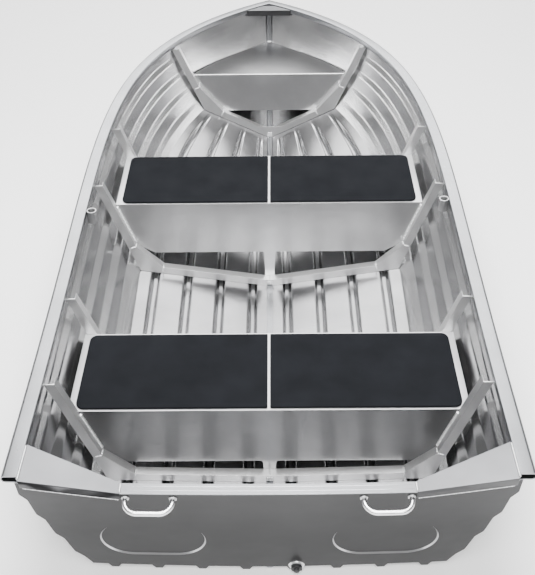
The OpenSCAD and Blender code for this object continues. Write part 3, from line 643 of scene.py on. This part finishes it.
def aluminium(name, tone, rough, grain=(1, 0.04, 1), wear=0.12, waves=0.004, aft=None, up=None):
    """Mill-finished aluminium: rolling grain along one axis, cloudy handling marks, soft waves in the sheet.

    Where they are given, faces that look straight aft take the `aft` tone and faces that look well up take
    the `up` tone: painted light and shade by facing, as the painted shade on the transom's outer face and the
    painted highlights on the ledges of the laps.
    """
    mat, tree, shader = shader_tree(name)
    lines = noise(tree, 600, grain)
    clouds = noise(tree, 7, detail=6.0)
    colour = tint(tree, clouds, *shades(tone, wear))
    # painted light and shade: faces that look aft or up take tones of their own
    for painted_tone, facing in ((aft, AFT_PAINTED_LIGHT), (up, UP_PAINTED_LIGHT)):
        if painted_tone:
            colour = paint_light_by_facing(tree, colour, tint(tree, clouds, *shades(painted_tone, wear)), *facing)
    tree.links.new(colour, shader.inputs["Base Color"])
    tree.links.new(spread(tree, lines, rough - 0.008, rough + 0.012), shader.inputs["Roughness"])
    shader.inputs["Metallic"].default_value = 1.0
    add_bump(tree, shader, noise(tree, 9, detail=2.0), 0.5, waves)
    return mat


def weld_metal():
    """Bright ripples with dull soot between them."""
    mat, tree, shader = shader_tree("weld_metal")
    grit = noise(tree, 520, detail=5.0)
    tree.links.new(tint(tree, grit, (0.55, 0.56, 0.57), (0.98, 0.98, 0.98)), shader.inputs["Base Color"])
    tree.links.new(spread(tree, grit, 0.32, 0.6), shader.inputs["Roughness"])
    shader.inputs["Metallic"].default_value = 1.0
    add_bump(tree, shader, grit, 0.35, 0.0006)
    return mat


def foam():
    """Closed-cell seat foam: near black, finely pored, a little dusty."""
    mat, tree, shader = shader_tree("seat_foam")
    pores = noise(tree, 900, detail=2.0)
    dust = noise(tree, 12, detail=5.0)
    black, dusty = (0.005, 0.0056, 0.007), (0.0075, 0.0082, 0.010)
    tree.links.new(tint(tree, dust, black, dusty), shader.inputs["Base Color"])
    tree.links.new(spread(tree, pores, 0.72, 0.92), shader.inputs["Roughness"])
    shader.inputs["Specular IOR Level"].default_value = 0.06
    add_bump(tree, shader, pores, 0.3, 0.0004)
    return mat


def plug_rubber():
    """Black moulded rubber with a fine grain."""
    mat, tree, shader = shader_tree("plug_rubber")
    grain = noise(tree, 600, detail=3.0)
    black, worn = (0.008, 0.008, 0.009), (0.016, 0.016, 0.018)
    tree.links.new(tint(tree, grain, black, worn), shader.inputs["Base Color"])
    tree.links.new(spread(tree, grain, 0.4, 0.6), shader.inputs["Roughness"])
    add_bump(tree, shader, grain, 0.15, 0.0003)
    return mat


def dress(finish, edge, *names):
    """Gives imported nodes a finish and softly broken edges, without touching their meshes."""
    for name in names:
        obj = nodes[name]
        obj.data.materials.clear()
        obj.data.materials.append(finish)
        joined = obj.modifiers.new("join", "WELD")
        joined.merge_threshold = 1e-5
        if edge:
            bevel = obj.modifiers.new("broken_edges", "BEVEL")
            bevel.width = edge * MM
            bevel.segments = 2
            bevel.limit_method = "ANGLE"
            bevel.angle_limit = math.radians(40)
            bevel.harden_normals = True


# Stage

# Camera, fitted to the photograph's 535 x 575 frame
CAMERA_PLACE = (22.7, -1496.1, 2169.6)
CAMERA_PITCH, CAMERA_YAW, CAMERA_ROLL = 38.22, 0.6615, 0.838
FOCAL_PX, FRAME_LONG_PX, SENSOR_MM = 950.0, 575.0, 36.0


def add_camera():
    data = bpy.data.cameras.new("photo_camera")
    data.sensor_width = SENSOR_MM
    data.lens = FOCAL_PX * SENSOR_MM / FRAME_LONG_PX
    camera = bpy.data.objects.new("photo_camera", data)
    turn = (Matrix.Rotation(math.radians(CAMERA_YAW), 4, "Z")
            @ Matrix.Rotation(math.radians(90 - CAMERA_PITCH), 4, "X")
            @ Matrix.Rotation(math.radians(-CAMERA_ROLL), 4, "Z"))
    camera.matrix_world = Matrix.Translation(place(CAMERA_PLACE)) @ turn
    bpy.context.scene.collection.objects.link(camera)
    bpy.context.scene.camera = camera


def add_floor():
    half, under = 150, -0.001
    corners = [(x, y, under) for x, y in ((-half, -half), (half, -half), (half, half), (-half, half))]
    mesh = bpy.data.meshes.new("floor")
    mesh.from_pydata(corners, [], [(0, 1, 2, 3)])
    mat, tree, shader = shader_tree("floor_paint")
    cloud = noise(tree, 1.5)
    tree.links.new(tint(tree, cloud, (0.93, 0.93, 0.93), (0.95, 0.95, 0.95)), shader.inputs["Base Color"])
    shader.inputs["Roughness"].default_value = 0.9
    shader.inputs["Emission Color"].default_value = (1, 1, 1, 1)
    shader.inputs["Emission Strength"].default_value = 0.3
    mesh.materials.append(mat)
    floor = bpy.data.objects.new("floor", mesh)
    bpy.context.scene.collection.objects.link(floor)


def add_softbox(name, at, look, size, power):
    data = bpy.data.lights.new(name, "AREA")
    data.shape = "RECTANGLE"
    data.size, data.size_y = size
    data.energy = power
    lamp = bpy.data.objects.new(name, data)
    lamp.location = at
    lamp.rotation_euler = (Vector(look) - Vector(at)).to_track_quat("-Z", "Y").to_euler()
    bpy.context.scene.collection.objects.link(lamp)


def add_room():
    """A dim white room that is paler near the horizon, where it meets the floor."""
    horizon, above, blend = 0.56, 0.28, 0.3
    world = bpy.data.worlds.new("studio")
    bpy.context.scene.world = world
    world.use_nodes = True
    tree = world.node_tree
    background = tree.nodes["Background"]
    background.inputs["Color"].default_value = (1, 1, 1, 1)
    direction = tree.nodes.new("ShaderNodeTexCoord")
    parts = tree.nodes.new("ShaderNodeSeparateXYZ")
    tree.links.new(direction.outputs["Generated"], parts.inputs["Vector"])
    tree.links.new(spread(tree, parts.outputs["Z"], horizon, above, 0, blend), background.inputs["Strength"])


def add_light():
    """A soft studio: broad boxes high ahead of the bow and behind the camera, weaker ones over the boat."""
    add_softbox("ahead", (0, 5.2, 4.6), (0, 0.2, 0.2), (7, 4), 540)
    add_softbox("behind", (0, -4.2, 5.0), (0, 0.6, 0.3), (5, 3), 520)
    add_softbox("bow_fill", (0, -0.4, 3.4), (0, 1.0, 0.35), (1.8, 1.4), 205)
    add_softbox("overhead", (0, 0.3, 5.0), (0, 0.2, 0), (3, 3), 160)


# Finishes of the parts, then the pieces, with weld radii and broken edges in millimetres
sheet = aluminium("bottom_sheet", (0.36, 0.36, 0.365), 0.25, waves=0.0025)
# Painted highlight: the up-facing ledges of the laps are nearly white, as if lit from above
plank_painted_highlight = aluminium("side_sheet", (0.56, 0.56, 0.566), 0.23, waves=0.0016, up=(0.97, 0.97, 0.975))
outside = aluminium("hull_outside", (0.2, 0.2, 0.204), 0.3)
# Painted shade: the transom's aft-facing outer face is near black, standing in for the dark surroundings it
# reflects
plate = aluminium("transom_plate", (0.6, 0.6, 0.61), 0.3, grain=(0.04, 1, 1), waves=0.002,
                  aft=(0.046, 0.046, 0.047))
# Painted highlight: aft-facing faces of the mid thwart and rowlocks are lighter than the rest
folded = aluminium("folded_sheet", (0.56, 0.56, 0.565), 0.29, grain=(1, 1, 0.04), waves=0.002,
                   aft=(0.68, 0.68, 0.685))
# A shaded copy of the folded finish: the stern thwart's aft-facing face carries painted shade
stern_fold_painted_shade = aluminium("stern_fold_painted_shade", (0.56, 0.56, 0.565), 0.29, grain=(1, 1, 0.04), waves=0.002,
                       aft=(0.2, 0.2, 0.202))
# Painted light and shade: the deck's aft face is painted much lighter than its top
deck_fold_painted_light = aluminium("deck_fold_painted_light", (0.33, 0.33, 0.334), 0.3, grain=(1, 0.04, 0.04), waves=0.002,
                      aft=(0.72, 0.72, 0.725))
# Painted shade: the frames' aft-facing webs are darker than their flanges
framing_painted_shade = aluminium("frame_angle", (0.96, 0.96, 0.965), 0.42, grain=(0.3, 0.3, 1), aft=(0.74, 0.74, 0.745))
bright = aluminium("rail_extrusion", (0.36, 0.366, 0.38), 0.28, waves=0.001)
rod = aluminium("handle_rod", (0.95, 0.95, 0.96), 0.3, grain=(0.2, 1, 1), wear=0.05, waves=0.0005)
# Painted shade: the corner plates' aft-facing lips are near black
satin_painted_shade = aluminium("corner_satin", (0.21, 0.212, 0.22), 0.34, grain=(0.06, 1, 1), aft=(0.06, 0.06, 0.062))
bead_metal = weld_metal()
pad_foam = foam()
rubber = plug_rubber()

sheet_pair("bottom", bottom_rows(), BOTTOM_T, sheet, back=outside)
sheet_pair("side", side_rows(), SIDE_T, plank_painted_highlight, back=outside)
sheet_pair("gunwale", rail_rows(), RAIL_WALL, bright, closed=True)
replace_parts(sheet_piece("bow_deck_sheet", deck_rows(), THWART_T, deck_fold_painted_light), "bow_deck")

dress(bright, 0, "keel_bar", "keel_strip")
# The transom keeps its own normals, so it gets a finish and no modifiers
nodes["transom"].data.materials.clear()
nodes["transom"].data.materials.append(plate)
dress(bright, 0.5, "transom_cap")
dress(rod, 0, "handle_port", "handle_starboard", "drain_socket")
dress(rubber, 0.4, "drain_plug")
dress(satin_painted_shade, 0.6, "corner_plate_port", "corner_plate_starboard", "breasthook")
dress(stern_fold_painted_shade, 1.0, "stern_thwart")
dress(folded, 1.0, "mid_thwart")
dress(folded, 0.4, "rowlock_port", "rowlock_starboard")
dress(framing_painted_shade, 0.6, *[name for name in nodes if "_frame_" in name or "_strut_" in name])

for name in nodes:
    if "_pad_" in name:
        seat_pad(name, pad_foam)

weld_piece("welds_corners", corner_welds(), 3.4, bead_metal)
weld_piece("welds_handles", handle_welds(), 3, bead_metal)
weld_piece("welds_frames", at_each(FRAMES_Y, frame_welds), 3, bead_metal)
weld_piece("welds_keel", at_each((STERN_THWART_Y, MID_THWART_Y), keel_welds), 2.6, bead_metal, both=False)
weld_piece("welds_keel_fill", at_each(FRAMES_Y, keel_fill), 4.6, bead_metal, both=False)
weld_piece("welds_deck", deck_welds(), 4, bead_metal, both=False)
weld_piece("welds_thwarts", thwart_welds(STERN_THWART_Y, STERN_THWART_H)
           + thwart_welds(MID_THWART_Y, MID_THWART_H), 5.5, bead_metal)

add_camera()
add_floor()
add_room()
add_light()
